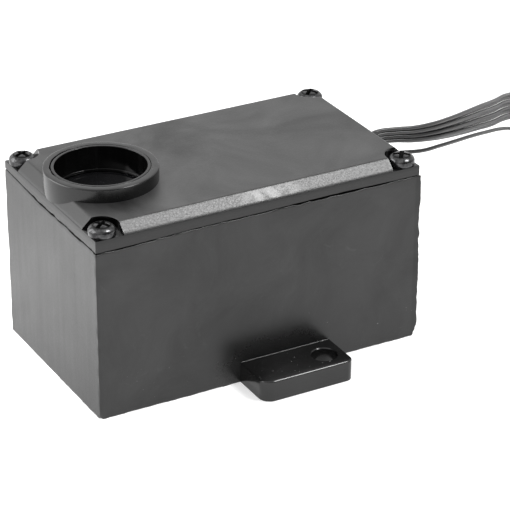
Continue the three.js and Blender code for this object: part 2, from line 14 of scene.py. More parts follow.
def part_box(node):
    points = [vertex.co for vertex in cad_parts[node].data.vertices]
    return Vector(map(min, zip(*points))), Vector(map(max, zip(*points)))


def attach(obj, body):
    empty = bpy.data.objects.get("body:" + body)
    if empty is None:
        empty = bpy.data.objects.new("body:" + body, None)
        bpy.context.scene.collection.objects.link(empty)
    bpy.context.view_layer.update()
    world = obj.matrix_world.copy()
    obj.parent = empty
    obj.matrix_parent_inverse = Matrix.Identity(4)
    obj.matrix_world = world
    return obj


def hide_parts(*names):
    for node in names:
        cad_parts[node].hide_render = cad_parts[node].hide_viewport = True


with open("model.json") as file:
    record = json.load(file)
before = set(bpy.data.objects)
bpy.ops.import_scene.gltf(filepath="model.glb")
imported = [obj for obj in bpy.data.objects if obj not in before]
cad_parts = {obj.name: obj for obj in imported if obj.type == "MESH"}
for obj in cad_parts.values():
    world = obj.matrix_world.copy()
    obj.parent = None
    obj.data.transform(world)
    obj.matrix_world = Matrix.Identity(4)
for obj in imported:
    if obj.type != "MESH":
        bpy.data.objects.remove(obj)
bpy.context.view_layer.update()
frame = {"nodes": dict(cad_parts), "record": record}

MM = 0.001
BODY = "case"
SLOT_OF = {row["node"]: row["material_slot"] for row in frame["record"]["subparts"]}


# ---------------------------------------------------------------- places from the frame

def span(node):
    low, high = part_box(node)
    return Vector(low) / MM, Vector(high) / MM


BOX_HIGH = span("box_body")[1]
LINER_LOW, LINER_HIGH = span("port_liner")
HALF_X, HALF_Y, BOX_TOP = BOX_HIGH.x, BOX_HIGH.y, BOX_HIGH.z
PORT_X = (LINER_LOW.x + LINER_HIGH.x) / 2
LINER_OUTER = (LINER_HIGH.x - LINER_LOW.x) / 2
PORT_TOP = span("lid")[1].z

# sizes in millimetres that the frame's boxes don't give
PORT_RISE = 4.0
LID_TOP = PORT_TOP - PORT_RISE
BEVEL_RISE, BEVEL_WIDTH = 2.9, 3.1
RIM_TOP = LID_TOP - BEVEL_RISE
HUB_RADIUS = 15.85
POCKET, POCKET_RADIUS = 8.6, 5.0     # a screw pocket's side, and the radius of its inner corner
LID_INSET = 0.10                     # how far the lid stands in from the box's sides
SEAM = 0.2                           # gap between the box's mouth and the lid
WALL, CORNER_COLUMN = 3.0, 10.0


# ---------------------------------------------------------------- camera and light

LENS, SENSOR = 171.7, 36
CAMERA_PLACE = (-288.45, -544.19, 336.48)
CAMERA_YAW, CAMERA_PITCH, CAMERA_ROLL = 29.05, 26.83, 0.19    # degrees
SOFTBOX_DISTANCE = 0.9
SOFTBOX_AIM = (0, 0, 0.03)
BRIGHT_DIRECTION = (-0.30, 0.85, 0.43)
WORLD_FADE = (-0.75, 0.35)           # cosines to the bright direction
WORLD_STRENGTH = (0.10, 1.08)        # on the dark side and on the bright side
FLOOR_GREY = 0.62
FLOOR_HALF = 3.0
GLOW_CENTRE = (-76, 43, 0)
GLOW_FADE = (10 * MM, 95 * MM)       # distances from that place
GLOW_STRENGTH = (1.15, 0.54)         # near the place and away from it


def new_object(name, data):
    """A new object in the scene that holds the data."""
    item = bpy.data.objects.new(name, data)
    bpy.context.collection.objects.link(item)
    return item


def make_camera():
    """A long lens from the front left, looking down on the lid."""
    data = bpy.data.cameras.new("camera")
    data.sensor_width = SENSOR
    data.lens = LENS
    data.clip_start, data.clip_end = 0.05, 10
    camera = new_object("camera", data)
    camera.location = Vector(CAMERA_PLACE) * MM
    yaw, pitch, roll = map(math.radians, (CAMERA_YAW, CAMERA_PITCH, CAMERA_ROLL))
    turn = Matrix.Rotation(-yaw, 4, "Z") @ Matrix.Rotation(math.pi / 2 - pitch, 4, "X")
    camera.rotation_euler = (turn @ Matrix.Rotation(roll, 4, "Z")).to_euler()
    bpy.context.scene.camera = camera


def area_light(name, direction, size, watts):
    """A square softbox in a direction from the object, facing it."""
    data = bpy.data.lights.new(name, "AREA")
    data.shape = "SQUARE"
    data.size = size
    data.energy = watts
    lamp = new_object(name, data)
    away = Vector(direction).normalized()
    lamp.location = Vector(SOFTBOX_AIM) + away * SOFTBOX_DISTANCE
    lamp.rotation_euler = away.to_track_quat("Z", "Y").to_euler()


def smooth_range(tree, source, before, after=(0, 1)):
    """The source put through a smooth step from one range of values to another."""
    node = tree.nodes.new("ShaderNodeMapRange")
    node.interpolation_type = "SMOOTHSTEP"
    names = ("From Min", "From Max", "To Min", "To Max")
    for name, value in zip(names, (*before, *after)):
        node.inputs[name].default_value = value
    tree.links.new(source, node.inputs["Value"])
    return node.outputs["Result"]


def studio_world():
    """White surroundings behind, above and at the sides, fading to a dark room in front."""
    world = bpy.data.worlds.new("studio")
    world.use_nodes = True
    tree = world.node_tree
    background = tree.nodes["Background"]
    place = tree.nodes.new("ShaderNodeTexCoord")
    facing = tree.nodes.new("ShaderNodeVectorMath")
    facing.operation = "DOT_PRODUCT"
    facing.inputs[1].default_value = Vector(BRIGHT_DIRECTION).normalized()
    tree.links.new(place.outputs["Generated"], facing.inputs[0])
    strength = smooth_range(tree, facing.outputs["Value"], WORLD_FADE, WORLD_STRENGTH)
    tree.links.new(strength, background.inputs["Strength"])
    background.inputs["Color"].default_value = (1, 1, 1, 1)
    bpy.context.scene.world = world


def floor_finish():
    """Pale floor that gives off a little light, most at the back left, so that it stays white."""
    material = bpy.data.materials.new("floor_white")
    material.use_nodes = True
    tree = material.node_tree
    shader = tree.nodes["Principled BSDF"]
    shader.inputs["Base Color"].default_value = (FLOOR_GREY, FLOOR_GREY, FLOOR_GREY, 1)
    shader.inputs["Roughness"].default_value = 0.9
    shader.inputs["Specular IOR Level"].default_value = 0.2
    shader.inputs["Emission Color"].default_value = (1, 1, 1, 1)
    place = tree.nodes.new("ShaderNodeTexCoord")
    away = tree.nodes.new("ShaderNodeVectorMath")
    away.operation = "DISTANCE"
    away.inputs[1].default_value = Vector(GLOW_CENTRE) * MM
    tree.links.new(place.outputs["Object"], away.inputs[0])
    strength = smooth_range(tree, away.outputs["Value"], GLOW_FADE, GLOW_STRENGTH)
    tree.links.new(strength, shader.inputs["Emission Strength"])
    return material


def make_stage():
    """The world, two softboxes and the floor."""
    bpy.context.scene.view_settings.view_transform = "Standard"
    studio_world()
    area_light("overhead_softbox", direction=(0.43, -0.37, 0.82), size=0.32, watts=5.8)
    area_light("left_softbox", direction=(-0.80, 0.45, 0.40), size=0.85, watts=9)

    mesh = bpy.data.meshes.new("floor")
    half = FLOOR_HALF
    corners = [(-half, -half, 0), (half, -half, 0), (half, half, 0), (-half, half, 0)]
    mesh.from_pydata(corners, [], [(0, 1, 2, 3)])
    mesh.materials.append(floor_finish())
    new_object("floor", mesh)


# ---------------------------------------------------------------- procedural materials

class Nodes:
    """Short calls for building one material's node tree."""

    def __init__(self, name):
        self.material = bpy.data.materials.new(name)
        self.material.use_nodes = True
        self.tree = self.material.node_tree
        self.shader = self.tree.nodes["Principled BSDF"]
        self.place = self.tree.nodes.new("ShaderNodeTexCoord").outputs["Object"]

    def link(self, source, target):
        self.tree.links.new(source, target)

    def feed(self, name, source):
        self.link(source, self.shader.inputs[name])

    def set(self, **values):
        for key, value in values.items():
            self.shader.inputs[key.replace("_", " ")].default_value = value

    def noise(self, scale, detail=3, roughness=0.5, vector=None, distortion=0.0):
        node = self.tree.nodes.new("ShaderNodeTexNoise")
        node.inputs["Scale"].default_value = scale
        node.inputs["Detail"].default_value = detail
        node.inputs["Roughness"].default_value = roughness
        node.inputs["Distortion"].default_value = distortion
        self.link(vector or self.place, node.inputs["Vector"])
        return node.outputs["Fac"]

    def stretched(self, scale):
        node = self.tree.nodes.new("ShaderNodeMapping")
        node.inputs["Scale"].default_value = scale
        self.link(self.place, node.inputs["Vector"])
        return node.outputs["Vector"]

    def ramp(self, source, stops):
        node = self.tree.nodes.new("ShaderNodeValToRGB")
        ramp = node.color_ramp
        while len(ramp.elements) < len(stops):
            ramp.elements.new(0.5)
        for element, (place, value) in zip(ramp.elements, stops):
            element.position = place
            colour = value if isinstance(value, tuple) else (value, value, value)
            element.color = (*colour, 1)
        self.link(source, node.inputs["Fac"])
        return node.outputs["Color"]

    def source(self, name):
        """The output that feeds one of the shader's inputs at the moment."""
        return self.shader.inputs[name].links[0].from_socket

    def band(self, value, low, high):
        """0 where the value is under low, 1 over high, smooth between. low may be the larger."""
        return smooth_range(self.tree, value, (low, high))

    def along(self, axis, low, high, both_sides=False):
        """A band along an object axis, between two places in millimetres."""
        split = self.tree.nodes.new("ShaderNodeSeparateXYZ")
        self.link(self.place, split.inputs["Vector"])
        value = split.outputs[axis]
        if both_sides:
            value = self.maths("ABSOLUTE", value, 0)
        return self.band(value, low * MM, high * MM)

    def vector_maths(self, kind, a, b=(0, 0, 0)):
        node = self.tree.nodes.new("ShaderNodeVectorMath")
        node.operation = kind
        self.link(a, node.inputs[0])
        node.inputs[1].default_value = b
        return node

    def near(self, centre, stretch, inner, outer, uneven):
        """1 near a place in millimetres, 0 far from it, with an uneven border."""
        away = self.vector_maths("SUBTRACT", self.place, Vector(centre) * MM).outputs["Vector"]
        scaled = self.vector_maths("MULTIPLY", away, stretch).outputs["Vector"]
        length = self.vector_maths("LENGTH", scaled).outputs["Value"]
        shift = self.maths("MULTIPLY", self.noise(110, 4, 0.6), uneven * MM)
        return self.band(self.maths("ADD", length, shift), outer * MM, inner * MM)

    def over(self, name, mask, value):
        """Replaces one of the shader's inputs by a value where the mask is 1."""
        if isinstance(value, (int, float)):
            value = (value, value, value, 1)
        self.feed(name, self.mix(mask, self.source(name), value))

    def maths(self, kind, a, b):
        node = self.tree.nodes.new("ShaderNodeMath")
        node.operation = kind
        for socket, value in zip(node.inputs, (a, b)):
            if isinstance(value, (int, float)):
                socket.default_value = value
            else:
                self.link(value, socket)
        return node.outputs["Value"]

    def times(self, *masks):
        """The product of several masks."""
        product = masks[0]
        for mask in masks[1:]:
            product = self.maths("MULTIPLY", product, mask)
        return product

    def mix(self, factor, a, b):
        node = self.tree.nodes.new("ShaderNodeMix")
        node.data_type = "RGBA"
        for name, value in (("Factor", factor), ("A", a), ("B", b)):
            sockets = [s for s in node.inputs if s.name == name and s.enabled]
            if isinstance(value, (int, float, tuple)):
                sockets[0].default_value = value
            else:
                self.link(value, sockets[0])
        return [s for s in node.outputs if s.enabled][0]

    def bump(self, height, strength, distance, before=None):
        node = self.tree.nodes.new("ShaderNodeBump")
        node.inputs["Strength"].default_value = strength
        node.inputs["Distance"].default_value = distance
        self.link(height, node.inputs["Height"])
        if before is not None:
            self.link(before, node.inputs["Normal"])
        self.feed("Normal", node.outputs["Normal"])
        return node.outputs["Normal"]


def plastic(name, colour, low, high, grain, grain_depth, mottle=0.35, smudge=1.0):
    """Moulded plastic: fine grain, slow mottling of its sheen, faint lighter handling smudges."""
    n = Nodes(name)
    fine = n.noise(grain, 4, 0.6)
    slow = n.noise(45, 3, 0.5)
    dark = tuple(c * (1 - mottle) for c in colour)
    light = tuple(c * (1 + mottle) for c in colour)
    base = n.ramp(slow, [(0.3, dark), (0.7, light)])
    marks = n.noise(120, 6, 0.7, distortion=1.5)
    marks = n.ramp(marks, [(0.62, 0.0), (0.85, 0.05 * smudge)])
    n.feed("Base Color", n.mix(marks, base, (0.5, 0.5, 0.5, 1)))
    sheen = n.mix(0.5, slow, fine)
    n.feed("Roughness", n.ramp(sheen, [(0.3, low), (0.7, high)]))
    waves = n.bump(n.noise(60, 2, 0.5), 0.25, 0.0002)
    n.bump(fine, grain_depth, 0.00005, waves)
    return n


def satin(name):
    n = plastic(name, (0.007, 0.007, 0.007), 0.30, 0.46, grain=1800, grain_depth=0.5)
    n.set(IOR=1.5)
    return n


FOOT_SHADE_PLACE = (4.0, -29.2, 2.0)         # middle of the front foot's patch of painted shade, on the wall
FOOT_SHADE_INNER, FOOT_SHADE_OUTER = 9, 30
BEVEL_FRONT = -25.3                      # y where the lid's front bevel begins
BEVEL_HIGHLIGHT_PLACE = (3, -27.7, 55.2)          # a glossier patch of painted highlight on that bevel
HANDLED_GREY = 0.35                      # pale film that handling leaves on black


def finish_case():
    """Satin black, with a glossier patch on the wall round each foot whose darker colour is painted shade,
    standing in for the foot's reflection and shadow.
    """
    n = satin("satin_black_plastic")
    streaks = n.noise(420, 4, 0.6, n.stretched((1, 1, 0.05)))
    n.over("Roughness", 0.22, n.ramp(streaks, [(0.32, 0.28), (0.68, 0.50)]))
    clouds = n.ramp(n.noise(48, 5, 0.65, distortion=0.9), [(0.36, 0.0), (0.74, 0.045)])
    n.over("Base Color", clouds, HANDLED_GREY)
    x, y, z = FOOT_SHADE_PLACE
    for centre in ((x, y, z), (-x, -y, z)):
        # painted shade: round each foot the wall gets a flat darker colour for the reflection of the foot's
        # dark top and its shadow, and lower roughness
        glossy_shade = n.near(centre, (0.62, 1, 1), FOOT_SHADE_INNER, FOOT_SHADE_OUTER, 12)
        n.over("Roughness", glossy_shade, 0.24)
        n.over("Base Color", glossy_shade, 0.013)
    dust = n.ramp(n.noise(1500, 2, 0.5), [(0.745, 0.0), (0.775, 0.4)])
    n.over("Base Color", n.times(dust, n.along("Z", 26, 6)), 0.4)
    return n.material


def bevel_mask(n):
    """1 on the lid's front bevel."""
    front = n.along("Y", BEVEL_FRONT, BEVEL_FRONT - 0.3)
    over_rim = n.along("Z", RIM_TOP + 0.1, RIM_TOP + 0.3)
    under_top = n.along("Z", LID_TOP, LID_TOP - 0.2)
    return n.times(front, n.times(over_rim, under_top))


def pocket_mask(n):
    """1 in the lid's screw pockets."""
    edge_x, edge_y = HALF_X - POCKET, HALF_Y - POCKET
    past_x = n.along("X", edge_x - 0.15, edge_x + 0.1, both_sides=True)
    past_y = n.along("Y", edge_y - 0.15, edge_y + 0.1, both_sides=True)
    over_rim = n.along("Z", RIM_TOP - 0.06, RIM_TOP - 0.02)
    under_top = n.along("Z", LID_TOP - 0.05, LID_TOP - 0.3)
    return n.times(past_x, past_y, over_rim, under_top)


def finish_lid():
    """Cloudy handling marks on top; a grainy front bevel whose lighter speckled colour is painted
    highlight, with a patch of brighter painted highlight; shiny screw pockets darkened with painted shade.
    """
    n = satin("satin_black_lid")
    bevel = bevel_mask(n)
    grain = n.noise(2300, 3, 0.65)
    n.over("Roughness", bevel, n.ramp(grain, [(0.36, 0.28), (0.66, 0.42)]))
    # painted highlight: the front bevel's colour is lightened in grainy speckles for the softbox's
    # reflection; its grainy roughness and bump are the plastic's own grain
    n.over("Base Color", bevel, n.ramp(n.noise(1700, 3, 0.6), [(0.40, 0.006), (0.64, 0.030)]))
    # painted highlight: a lighter, glossier patch on the front bevel, with an uneven grainy edge
    near = n.near(BEVEL_HIGHLIGHT_PLACE, (0.45, 1, 1), 2, 8, 4)
    bevel_highlight = n.times(bevel, n.times(near, n.ramp(n.noise(260, 4, 0.6), [(0.38, 0.0), (0.60, 1.0)])))
    n.over("Roughness", bevel_highlight, 0.22)
    n.over("Base Color", bevel_highlight, 0.045)
    clouds = n.ramp(n.noise(34, 5, 0.62, distortion=0.8), [(0.36, 0.0), (0.72, 0.13)])
    n.over("Base Color", n.times(clouds, n.along("Z", LID_TOP - 0.1, LID_TOP)), HANDLED_GREY)
    # painted shade: the screw pockets' colour is darkened to near black where shade falls round the screw
    # heads; their lower roughness makes them glossier
    pocket = pocket_mask(n)
    n.over("Roughness", pocket, 0.10)
    n.over("Base Color", pocket, 0.001)
    n.bump(n.times(bevel, grain), 0.25, 0.00004, n.source("Normal"))
    return n.material


def finish_hub():
    n = plastic("satin_black_hub", (0.004, 0.004, 0.004), 0.20, 0.28, grain=1400, grain_depth=0.07)
    n.set(IOR=1.5)
    return n.material


def finish_gloss():
    """Glossy black with fine dust lying on it."""
    n = plastic("gloss_black_plastic", (0.009, 0.009, 0.009), 0.10, 0.22, 1200, 0.15, mottle=0.5)
    n.set(IOR=1.5)
    dust = n.ramp(n.noise(1500, 2, 0.5), [(0.735, 0.0), (0.765, 0.45)])
    n.over("Base Color", n.times(dust, n.along("Z", 5.6, 6.2)), 0.5)
    return n.material


def finish_sleeve():
    """Deep black gloss with faint upright draw marks in roughness and bump; its near-black colour is
    painted shade of the deep bore, and the marks' lighter streaks in that colour are painted reflections.
    """
    n = Nodes("sleeve_black")
    marks = n.noise(260, 4, 0.6, n.stretched((1, 1, 0.02)))
    # painted shade and painted reflection: near-black colour for the deep bore, with lighter upright
    # streaks for reflections
    n.feed("Base Color", n.ramp(marks, [(0.3, 0.0012), (0.7, 0.0028)]))
    n.feed("Roughness", n.ramp(marks, [(0.35, 0.08), (0.65, 0.30)]))
    n.set(IOR=1.45)
    n.bump(marks, 0.25, 0.0001)
    return n.material


def finish_screw(recess=None):
    """Black oxide steel. recess is the (x, y, top) of a cross recess whose deeper middle is darkened with
    painted shade and made rougher.
    """
    n = Nodes("black_oxide_steel")
    patches = n.noise(900, 5, 0.6)
    n.feed("Base Color", n.ramp(patches, [(0.35, (0.02, 0.02, 0.021)), (0.75, (0.12, 0.12, 0.122))]))
    n.feed("Roughness", n.ramp(patches, [(0.3, 0.10), (0.7, 0.26)]))
    n.set(Metallic=0.75)
    if recess:
        top = recess[2]
        # painted shade: the middle of the cross recess, below its top, gets a near-black colour
        middle = n.near(recess, (1, 1, 0), 2.5, 2.8, 0)
        recess_shade = n.times(middle, n.along("Z", top - 0.12, top - 0.3))
        n.over("Base Color", recess_shade, 0.004)
        n.over("Roughness", recess_shade, 0.5)
    n.bump(n.noise(1500, 3, 0.5), 0.25, 0.00005)
    return n.material


def finish_glass():
    n = Nodes("smoked_lens")
    cloud = n.noise(300, 3, 0.5)
    n.feed("Base Color", n.ramp(cloud, [(0.3, (0.05, 0.05, 0.055)), (0.7, (0.07, 0.07, 0.075))]))
    n.feed("Roughness", n.ramp(cloud, [(0.3, 0.03), (0.8, 0.09)]))
    n.set(Transmission_Weight=0.9, IOR=1.5)
    return n.material


def finish_lead(tone=0.10):
    n = Nodes("lead_insulation_%03d" % round(tone * 1000))
    slow = n.noise(80, 3, 0.5)
    n.feed("Base Color", n.ramp(slow, [(0.3, tone * 0.8), (0.7, tone * 1.2)]))
    fine = n.noise(2500, 3, 0.6)
    n.feed("Roughness", n.ramp(fine, [(0.3, 0.26), (0.7, 0.42)]))
    n.bump(fine, 0.12, 0.00003)
    return n.material


def finish_board():
    """Green solder mask over a grid of slightly raised copper tracks."""
    n = Nodes("solder_mask")
    brick = n.tree.nodes.new("ShaderNodeTexBrick")
    brick.inputs["Scale"].default_value = 90
    brick.inputs["Mortar Size"].default_value = 0.035
    brick.inputs["Color1"].default_value = (0.01, 0.10, 0.035, 1)
    brick.inputs["Color2"].default_value = (0.012, 0.12, 0.045, 1)
    brick.inputs["Mortar"].default_value = (0.03, 0.22, 0.09, 1)
    n.link(n.place, brick.inputs["Vector"])
    n.feed("Base Color", brick.outputs["Color"])
    n.feed("Roughness", n.ramp(n.noise(500, 3), [(0.3, 0.25), (0.7, 0.45)]))
    n.bump(brick.outputs["Fac"], 0.3, 0.0001)
    return n.material


def finish_metal(name, colour, low, high, stretch):
    """Bright metal with fine marks drawn out along one axis."""
    n = Nodes(name)
    marks = n.noise(800, 4, 0.6, n.stretched(stretch))
    dark = tuple(c * 0.82 for c in colour)
    n.feed("Base Color", n.ramp(marks, [(0.3, dark), (0.7, colour)]))
    n.feed("Roughness", n.ramp(marks, [(0.3, low), (0.7, high)]))
    n.set(Metallic=1.0)
    n.bump(marks, 0.2, 0.00004)
    return n.material


def finish_plain(name, colour, low, high, grain=1500, grain_depth=0.2, mottle=0.12):
    return plastic(name, colour, low, high, grain, grain_depth, mottle, 0.4).material


RUBBER_BLACK = (0.012, 0.012, 0.012)
NYLON_BLACK = (0.014, 0.014, 0.014)
FINISHES = {
    "case_plastic": finish_case,
    "gloss_plastic": finish_gloss,
    "smoked_glass": finish_glass,
    "black_screw": finish_screw,
    "rubber": lambda: plastic("black_rubber", RUBBER_BLACK, 0.55, 0.75, 1500, 0.4).material,
    "lead_insulation": finish_lead,
    "tie_plastic": lambda: plastic("nylon_tie", NYLON_BLACK, 0.32, 0.5, 2200, 0.3).material,
    "board": finish_board,
    "steel": lambda: finish_metal("zinc_steel", (0.62, 0.62, 0.6), 0.22, 0.4, (1, 1, 6)),
    "frame_plastic": lambda: finish_plain("natural_nylon", (0.62, 0.58, 0.46), 0.4, 0.55),
    "varistor_coat": lambda: finish_plain("blue_epoxy", (0.02, 0.09, 0.28), 0.22, 0.4, 700, 0.35),
    "spring_alloy": lambda: finish_metal("copper_alloy", (0.72, 0.42, 0.24), 0.2, 0.38, (1, 6, 1)),
    "flag_green": lambda: finish_plain("green_flag", (0.02, 0.34, 0.08), 0.4, 0.55),
    "flag_red": lambda: finish_plain("red_flag", (0.5, 0.02, 0.015), 0.4, 0.55),
    "capacitor_shell": lambda: finish_plain("yellow_case", (0.55, 0.36, 0.05), 0.35, 0.5),
    "ceramic": lambda: finish_plain("white_ceramic", (0.7, 0.7, 0.66), 0.25, 0.4),
    "resistor_coat": lambda: finish_plain("blue_grey_lacquer", (0.16, 0.32, 0.42), 0.3, 0.45),
    "relay_case": lambda: finish_plain("relay_black", (0.02, 0.02, 0.022), 0.4, 0.55),
}
MATERIALS = {slot: make() for slot, make in FINISHES.items()}
TINNED_COPPER = finish_metal("tinned_copper", (0.62, 0.5, 0.4), 0.2, 0.4, (6, 6, 1))


# ---------------------------------------------------------------- mesh helpers

def add_piece(name, mesh, slot, nodes=(), material=None, smooth=30):
    """Links a mesh in millimetres as a piece in metres that stands for the named CAD nodes."""
    mesh.transform(Matrix.Scale(MM, 4))
    mesh.materials.clear()
    mesh.materials.append(material or MATERIALS[slot])
    piece = new_object(name, mesh)
    mesh.shade_smooth()
    sharp_edges(mesh, math.radians(smooth))
    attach(piece, BODY)
    if nodes:
        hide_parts(*nodes)
    return piece


def sharp_edges(mesh, angle):
    """Marks edges sharper than the angle, so that smooth shading stops there."""
    work = bmesh.new()
    work.from_mesh(mesh)
    for edge in work.edges:
        if len(edge.link_faces) == 2:
            edge.smooth = edge.calc_face_angle(0) < angle
    work.to_mesh(mesh)
    work.free()


def mesh_from(points, faces, name):
    """A mesh with its doubled points joined and its faces turned outward."""
    mesh = bpy.data.meshes.new(name)
    mesh.from_pydata([tuple(p) for p in points], [], faces)
    work = bmesh.new()
    work.from_mesh(mesh)
    bmesh.ops.remove_doubles(work, verts=work.verts, dist=1e-5)
    bmesh.ops.recalc_face_normals(work, faces=work.faces)
    work.to_mesh(mesh)
    work.free()
    return mesh


def loft(rings, name="loft"):
    """A closed solid through rings of equal point counts, flat faces on the first and last."""
    count = len(rings[0])
    points = [p for ring in rings for p in ring]
    faces = [tuple(reversed(range(count)))]
    for level in range(len(rings) - 1):
        a, b = level * count, (level + 1) * count
        for i in range(count):
            j = (i + 1) % count
            faces.append((a + i, a + j, b + j, b + i))
    top = (len(rings) - 1) * count
    faces.append(tuple(range(top, top + count)))
    return mesh_from(points, faces, name)


def lathe(profile, segments=96, closed=False):
    """Turns (radius, height) points about the upright axis. A closed profile makes a ring."""
    points, faces, rows = [], [], len(profile)
    for i in range(segments):
        angle = 2 * math.pi * i / segments
        for radius, height in profile:
            points.append((radius * math.cos(angle), radius * math.sin(angle), height))
    steps = rows if closed else rows - 1
    for i in range(segments):
        a, b = i * rows, ((i + 1) % segments) * rows
        for k in range(steps):
            m = (k + 1) % rows
            faces.append((a + k, b + k, b + m, a + m))
    mesh = mesh_from(points, faces, "lathe")
    work = bmesh.new()
    work.from_mesh(mesh)
    bmesh.ops.dissolve_degenerate(work, edges=work.edges, dist=1e-6)
    work.to_mesh(mesh)
    work.free()
    return mesh


def fillet(corner, start, end, radius, steps=4):
    """Points of a round corner in a profile, between the directions to start and end."""
    corner, start, end = Vector(corner), Vector(start), Vector(end)
    a = corner + (start - corner).normalized() * radius
    b = corner + (end - corner).normalized() * radius
    return [tuple(a.lerp(corner, t).lerp(corner.lerp(b, t), t)) for t in
            (i / steps for i in range(steps + 1))]


def rounded(profile, radii, closed=True, steps=4):
    """A profile whose listed corners are rounded: radii maps a corner's index to its radius."""
    count, out = len(profile), []
    for i, point in enumerate(profile):
        radius = radii.get(i, 0)
        if radius and (closed or 0 < i < count - 1):
            out += fillet(point, profile[i - 1], profile[(i + 1) % count], radius, steps)
        else:
            out.append(point)
    return out


def cut(mesh, tool):
    """The mesh after an exact boolean with the tool mesh."""
    target = new_object("target", mesh)
    cutter = new_object("cutter", tool)
    modifier = target.modifiers.new("cut", "BOOLEAN")
    modifier.operation = "DIFFERENCE"
    modifier.solver = "EXACT"
    modifier.object = cutter
    graph = bpy.context.evaluated_depsgraph_get()
    result = bpy.data.meshes.new_from_object(target.evaluated_get(graph))
    for item in (target, cutter):
        bpy.data.objects.remove(item)
    return result


def prism(outline, low, high):
    """An upright prism of a closed outline of (x, y) points."""
    return loft([[(x, y, low) for x, y in outline], [(x, y, high) for x, y in outline]])


def arc(cx, cy, radius, start, end, steps):
    angles = (math.radians(start + (end - start) * i / steps) for i in range(steps + 1))
    return [(cx + radius * math.cos(a), cy + radius * math.sin(a)) for a in angles]


def placed(mesh, move=(0, 0, 0), turn=0.0):
    mesh.transform(Matrix.Translation(move) @ Matrix.Rotation(turn, 4, "Z"))
    return mesh


def wobble(x, y, z, size, seed=0.0):
    """Smooth noise between -1 and 1 with features of the given size in millimetres."""
    return noise.noise(Vector((x / size + seed, y / size - seed, z / size + 2 * seed)))


# ---------------------------------------------------------------- leads

BUNDLE_ROUTE = [
    (51.5, 7, 44.5), (54.6, 7, 44.7), (58, 7, 46), (64, 6.5, 45.8), (70, 6, 45), (77, 6.8, 44.1),
    (85, 10, 42.5), (94, 15, 40.3), (104, 21.5, 37.5), (114, 28.5, 34.3), (124, 35.9, 31.4),
    (133, 42.3, 27.5), (141, 47.6, 21.8), (148.5, 52.6, 15.6), (155, 57, 10.6), (158.4, 59.3, 8.2),
    (163.4, 62.9, 4.9),
]
LONE_ROUTE = [
    (51.5, 6.45, 42.04), (54.6, 6.45, 41.8), (60, 6.4, 41), (67, 5.8, 40.1), (74, 6.6, 38.8),
    (82, 9.6, 37.4), (91, 14.2, 35.3), (101, 20.2, 32.5), (111, 27, 29), (121, 34, 25.2), (131, 41.2, 20.4),
    (140, 47.4, 14.9), (148, 52.8, 9.8), (153.5, 56.3, 6.8), (158.6, 59.6, 4.4), (163.6, 62.8, 2.3),
]
LEAD_LENGTH = 0.457
LEAD_DIAMETER = 1.2
COIL_LOW, COIL_HIGH = span("lead_coil")
COIL_CENTRE = ((COIL_LOW.x + COIL_HIGH.x) / 2, (COIL_LOW.y + COIL_HIGH.y) / 2)
COIL_START_RADIUS = 25.2
COIL_START_ANGLE = 107.0
COIL_PITCH = 3.85
COIL_STEP = 15.0
COIL_KNOTS = 80          # more than any lead needs: each is trimmed to its length
LEAD_PITCH = 1.24


def smooth_step(t):
    t = min(1, max(0, t))
    return t * t * (3 - 2 * t)


def coil_points(column, row):
    """A lead's turns in the coil, wound inward clockwise in a flat spiral."""
    z = COIL_LOW.z + LEAD_DIAMETER / 2 + 0.1 + row * LEAD_PITCH
    points = []
    for i in range(COIL_KNOTS):
        turned = i * COIL_STEP
        angle = math.radians(COIL_START_ANGLE - turned)
        radius = COIL_START_RADIUS - COIL_PITCH * turned / 360 + (1 - column) * LEAD_PITCH
        x = COIL_CENTRE[0] + radius * math.cos(angle)
        y = COIL_CENTRE[1] + radius * math.sin(angle)
        points.append((x, y, z))
    return points


def trimmed(points, length):
    """The points up to a length along them, in millimetres, with an exact last point."""
    out, left = [Vector(points[0])], length
    for a, b in zip(points, points[1:]):
        a, b = Vector(a), Vector(b)
        step = (b - a).length
        if step >= left:
            out.append(a.lerp(b, left / step))
            return out
        left -= step
        out.append(b)
    return out


# the fifth lead's darkest tone, 0.012, is painted shade for the wire that lies in shadow in the fan; the
# other tones differ from lead to lead
LEAD_TONES = [0.036, 0.024, 0.044, 0.028, 0.012, 0.04, 0.03, 0.046, 0.016]
COIL_CELLS = [(0, 2), (1, 2), (2, 2), (0, 1), (1, 1), (2, 1), (0, 0), (1, 0)]    # (column, row)
NEAR_TOP, NEAR_STEP, NEAR_SIDE = 2.35, 0.6, 0.6      # two staggered columns in the grommet
WIDE_TOP, WIDE_STEP, WIDE_SIDE = 4.2, 1.2, 0.25      # nearly one flat sheet further out
FAN_FROM, FAN_WIDE_AT = 2.5, 10                      # route points where the fan starts and ends


def fan_place(number, top, step, side):
    """A lead's (across, up) place in the fan, alternating between two columns."""
    return (side if number % 2 else -side, top - step * number)


def fanned(route, number):
    """The bundle's route moved to one lead's place in the fan, and on to its place in the coil."""
    out = []
    last = len(route) - 1
    column, row = COIL_CELLS[number]
    near = fan_place(number, NEAR_TOP, NEAR_STEP, NEAR_SIDE)
    wide = fan_place(number, WIDE_TOP, WIDE_STEP, WIDE_SIDE)
    close = ((column - 1) * -LEAD_PITCH, (row - 1) * LEAD_PITCH)
    for i, point in enumerate(route):
        ahead = Vector(route[min(i + 1, last)]) - Vector(route[max(i - 1, 0)])
        across = Vector((-ahead.y, ahead.x, 0)).normalized()
        if i <= FAN_WIDE_AT:
            begin, end, t = near, wide, smooth_step((i - FAN_FROM) / (FAN_WIDE_AT - FAN_FROM))
        else:
            begin, end, t = wide, close, smooth_step((i - FAN_WIDE_AT) / (last - FAN_WIDE_AT))
        side, rise = (begin[k] + (end[k] - begin[k]) * t for k in (0, 1))
        out.append(tuple(Vector(point) + across * side + Vector((0, 0, rise))))
    return out


